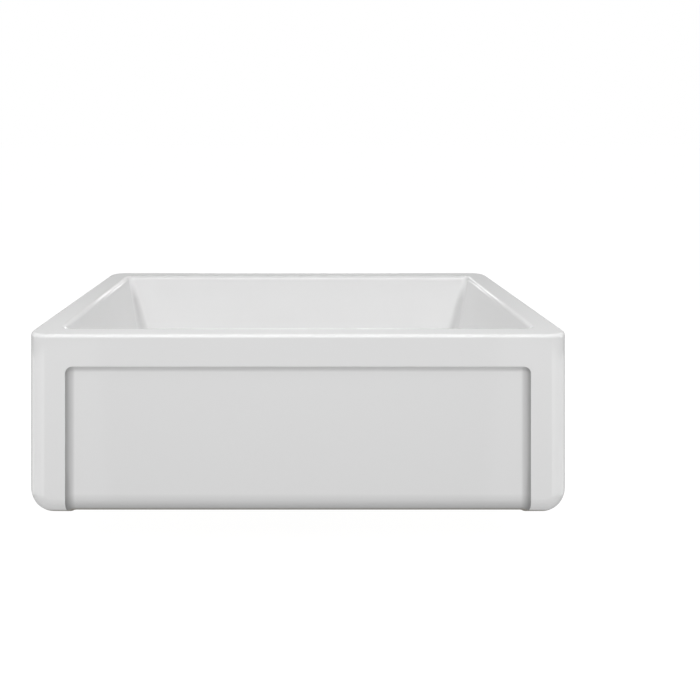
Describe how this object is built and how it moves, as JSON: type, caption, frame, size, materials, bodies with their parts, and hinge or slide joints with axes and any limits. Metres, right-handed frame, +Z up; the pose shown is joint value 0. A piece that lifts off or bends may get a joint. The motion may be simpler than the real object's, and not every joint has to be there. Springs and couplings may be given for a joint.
{
  "type": "farmhouse apron front sink",
  "caption": "Single-bowl fireclay farmhouse sink with a recessed-panel apron, drafted bowl walls, and a basket strainer with a lift-out basket and a push-down stopper.",
  "frame": {"origin": "middle of the basin's flat underside, where the cabinet carries the sink; the drain hangs below it", "axes": "+X to the right along the sink's length, +Y to the back, +Z up out of the bowl; the panelled apron faces -Y"},
  "size_m": [0.762, 0.4572, 0.3515],
  "materials": {
    "glazed_fireclay": "gloss white glaze, fired clay at the underside",
    "putty": "soft plumber's putty, matt",
    "strainer_steel": "drawn stainless steel, polished flange",
    "brass_thread": "turned brass",
    "stamped_steel": "stamped stainless steel",
    "black_rubber": "moulded black rubber, satin",
    "fibre_card": "pressed fibre, matt",
    "cast_zinc": "die-cast zinc, as cast",
    "white_nylon": "moulded white nylon, satin",
    "chromed_tube": "chromed brass tube",
    "chromed_nut": "chromed die-cast nut",
    "basket_steel": "pressed perforated stainless steel",
    "turned_steel": "turned stainless steel",
    "spring_steel": "hard spring wire",
    "post_steel": "turned stainless steel",
    "knob_steel": "polished stainless steel",
    "plate_steel": "stamped stainless steel",
    "black_rubber_seal": "moulded black rubber, satin",
    "brass_nut": "turned brass"
  },
  "bodies": {
    "sink": {"basin": "glazed_fireclay", "sealing_putty": "putty", "strainer_body": "strainer_steel", "outlet_nipple": "brass_thread", "outlet_spider": "stamped_steel", "rubber_gasket": "black_rubber", "friction_washer": "fibre_card", "locknut": "cast_zinc", "tailpiece_washer": "white_nylon", "tailpiece": "chromed_tube", "slip_nut": "chromed_nut"},
    "basket": {"basket_cup": "basket_steel", "basket_hub": "turned_steel", "post_spring_clip": "spring_steel"},
    "stopper": {"basket_post": "post_steel", "basket_knob": "knob_steel", "seal_plate": "plate_steel", "stopper_seal": "black_rubber_seal", "seal_nut": "brass_nut"}
  },
  "joints": [
    {"name": "basket_lift", "type": "slide", "parent": "sink", "child": "basket", "axis": [0, 0, 1], "range_m": [0, 0.3]},
    {"name": "stopper_travel", "type": "slide", "parent": "basket", "child": "stopper", "axis": [0, 0, 1], "range_m": [0, 0.012]}
  ]
}
